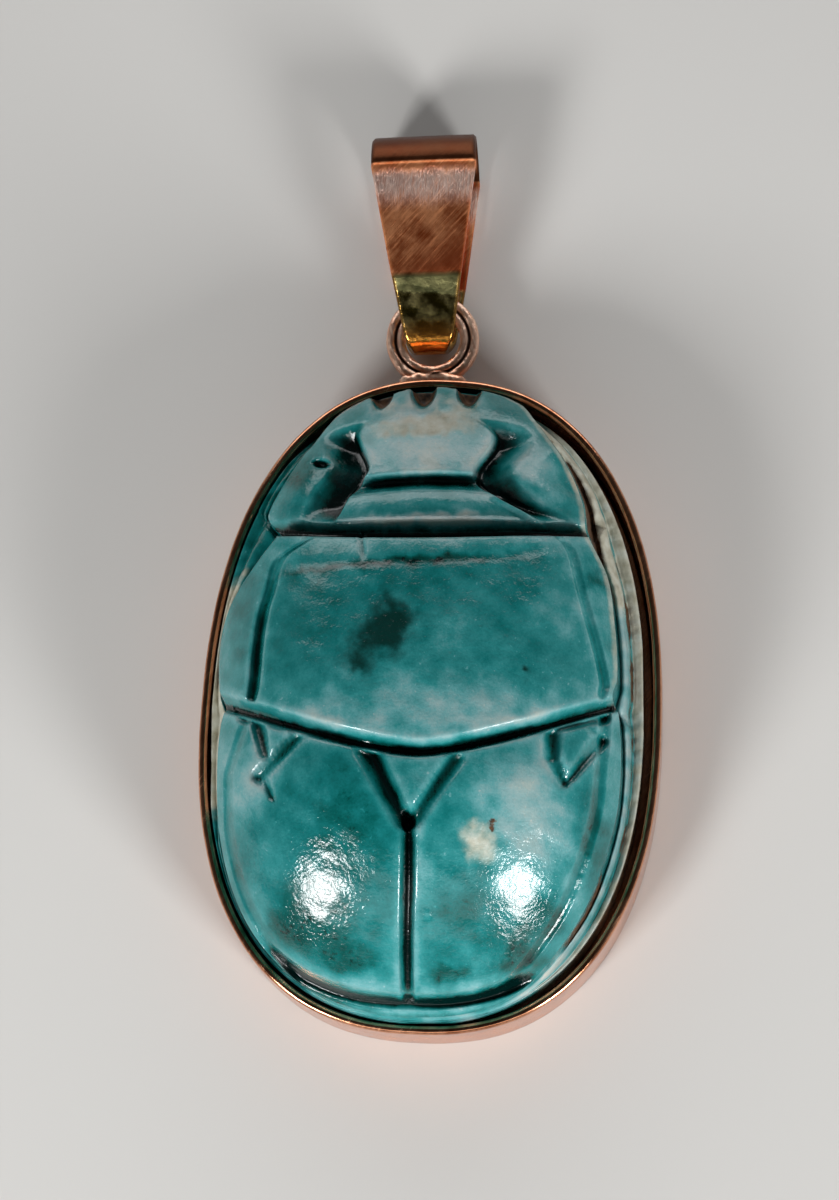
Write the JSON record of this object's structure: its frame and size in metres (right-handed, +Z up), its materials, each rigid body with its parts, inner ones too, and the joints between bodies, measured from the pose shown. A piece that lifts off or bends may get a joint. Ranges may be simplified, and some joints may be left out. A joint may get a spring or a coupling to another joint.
{
  "type": "scarab amulet",
  "caption": "Glazed stone scarab held in a rose-gold bezel, with a soldered hanger ring and a folded bail, lying on its back.",
  "frame": {"origin": "on the surface the pendant lies on, below the middle of its overall box", "axes": "+Z up out of the beetle's back, +Y from the bezel towards the bail, +X to the right as the beetle is looked down on with the bail at the top"},
  "size_m": [0.0254, 0.0514, 0.0133],
  "materials": {
    "glaze": "turquoise glaze, darker where it pools, worn pale at the edges",
    "rose_gold": "polished rose gold with fine scratches",
    "pale_gold": "brushed rose gold, yellower below the knee"
  },
  "bodies": {
    "root": {"scarab": "glaze", "bezel": "rose_gold", "hanger_ring": "rose_gold", "bail": "pale_gold"}
  },
  "joints": []
}
